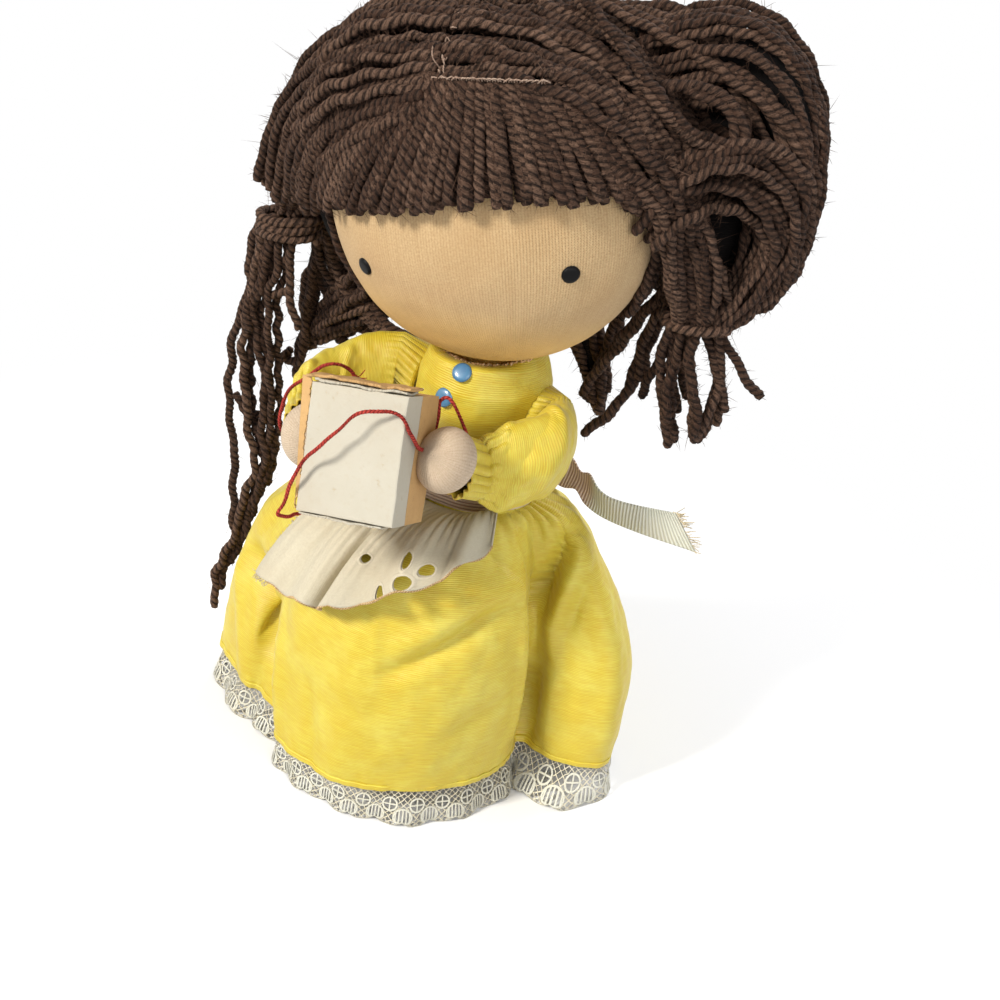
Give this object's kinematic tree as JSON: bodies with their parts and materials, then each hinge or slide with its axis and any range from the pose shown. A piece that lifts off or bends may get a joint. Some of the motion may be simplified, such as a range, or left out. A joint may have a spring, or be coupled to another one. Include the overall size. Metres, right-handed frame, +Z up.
{
  "type": "rag doll",
  "caption": "Small soft rag doll with brown yarn hair in bunches, a long yellow satin dress with lace and an apron, holding a little tied card box.",
  "frame": {"origin": "middle of the footprint, on the plane that the soles and the lace stand on", "axes": "+Z up, -Y the way the doll faces, +X towards the doll's left"},
  "size_m": [0.1188, 0.087, 0.1742],
  "materials": {
    "apron": "matt cotton",
    "bangs": "plied yarn",
    "bodice": "satin",
    "box_base": "kraft card",
    "box_lid": "matt card",
    "box_string": "cotton floss",
    "button_lower": "pearly gloss",
    "button_upper": "pearly gloss",
    "collar_trim": "narrow braid",
    "eye_left": "satin black",
    "eye_right": "satin black",
    "hair_cap": "plied yarn",
    "head_cover": "beige stockinette",
    "head_stuffing": "loose white fibre",
    "hem_lace": "cotton lace",
    "left_arm_cover": "beige stockinette",
    "left_arm_stuffing": "loose white fibre",
    "left_back_lock": "plied yarn",
    "left_cheek_lock": "plied yarn",
    "left_cuff_elastic": "matt cotton",
    "left_hair_tie": "matt cotton",
    "left_leg_cover": "beige stockinette",
    "left_leg_stuffing": "loose white fibre",
    "left_pigtail": "plied yarn",
    "left_side_hair": "plied yarn",
    "left_sleeve": "satin",
    "neck_plug": "beige stockinette",
    "parting_stitch": "matt cotton",
    "ribbon_band": "ribbed ribbon",
    "ribbon_knot": "ribbed ribbon",
    "ribbon_tail_left": "ribbed ribbon",
    "ribbon_tail_right": "ribbed ribbon",
    "right_arm_cover": "beige stockinette",
    "right_arm_stuffing": "loose white fibre",
    "right_cheek_lock": "plied yarn",
    "right_cuff_elastic": "matt cotton",
    "right_hair_tie": "matt cotton",
    "right_leg_cover": "beige stockinette",
    "right_leg_stuffing": "loose white fibre",
    "right_pigtail": "plied yarn",
    "right_side_hair": "plied yarn",
    "right_sleeve": "satin",
    "skirt": "satin",
    "torso_cover": "beige stockinette",
    "torso_stuffing": "loose white fibre"
  },
  "bodies": {
    "torso": {"torso_cover": "torso_cover", "torso_stuffing": "torso_stuffing", "bodice": "bodice", "collar_trim": "collar_trim", "button_upper": "button_upper", "button_lower": "button_lower", "skirt": "skirt", "hem_lace": "hem_lace", "apron": "apron", "ribbon_band": "ribbon_band", "ribbon_knot": "ribbon_knot", "ribbon_tail_left": "ribbon_tail_left", "ribbon_tail_right": "ribbon_tail_right"},
    "neck": {"neck_plug": "neck_plug"},
    "head": {"head_cover": "head_cover", "head_stuffing": "head_stuffing", "eye_right": "eye_right", "eye_left": "eye_left", "hair_cap": "hair_cap", "bangs": "bangs", "parting_stitch": "parting_stitch", "right_side_hair": "right_side_hair", "left_side_hair": "left_side_hair", "right_cheek_lock": "right_cheek_lock", "left_cheek_lock": "left_cheek_lock", "left_back_lock": "left_back_lock"},
    "right_pigtail": {"right_pigtail": "right_pigtail", "right_hair_tie": "right_hair_tie"},
    "left_pigtail": {"left_pigtail": "left_pigtail", "left_hair_tie": "left_hair_tie"},
    "right_arm": {"right_arm_cover": "right_arm_cover", "right_arm_stuffing": "right_arm_stuffing", "right_sleeve": "right_sleeve", "right_cuff_elastic": "right_cuff_elastic", "box_base": "box_base", "box_lid": "box_lid", "box_string": "box_string"},
    "left_arm": {"left_arm_cover": "left_arm_cover", "left_arm_stuffing": "left_arm_stuffing", "left_sleeve": "left_sleeve", "left_cuff_elastic": "left_cuff_elastic"},
    "right_leg": {"right_leg_cover": "right_leg_cover", "right_leg_stuffing": "right_leg_stuffing"},
    "left_leg": {"left_leg_cover": "left_leg_cover", "left_leg_stuffing": "left_leg_stuffing"}
  },
  "joints": [
    {"name": "head_turn", "type": "hinge", "parent": "torso", "child": "neck", "pos_m": [0.00511, 0.00892, 0.105], "axis": [0, 0, 1], "range_deg": [-12, 12]},
    {"name": "head_nod", "type": "hinge", "parent": "neck", "child": "head", "pos_m": [0.00511, 0.00892, 0.105], "axis": [1, 0, 0], "range_deg": [-8, 3]},
    {"name": "right_pigtail_swing", "type": "hinge", "parent": "head", "child": "right_pigtail", "pos_m": [-0.04503, 0.01046, 0.1109], "axis": [1, 0, 0], "range_deg": [-20, 20]},
    {"name": "left_pigtail_swing", "type": "hinge", "parent": "head", "child": "left_pigtail", "pos_m": [0.04649, 0.01142, 0.1157], "axis": [1, 0, 0], "range_deg": [-10, 10]},
    {"name": "right_shoulder", "type": "hinge", "parent": "torso", "child": "right_arm", "pos_m": [0.00511, 0.00842, 0.0875], "axis": [1, 0, 0], "range_deg": [-12, 2]},
    {"name": "left_shoulder", "type": "hinge", "parent": "torso", "child": "left_arm", "pos_m": [0.00511, 0.00842, 0.0875], "axis": [1, 0, 0], "range_deg": [-12, 2]},
    {"name": "right_hip", "type": "hinge", "parent": "torso", "child": "right_leg", "pos_m": [-0.00269, 0.01042, 0.0412], "axis": [1, 0, 0], "range_deg": [-12, 12]},
    {"name": "left_hip", "type": "hinge", "parent": "torso", "child": "left_leg", "pos_m": [0.01291, 0.01042, 0.0412], "axis": [1, 0, 0], "range_deg": [-12, 12]}
  ],
  "couplings": [
    {"joint": "left_shoulder", "follows": "right_shoulder", "ratio": 1}
  ]
}
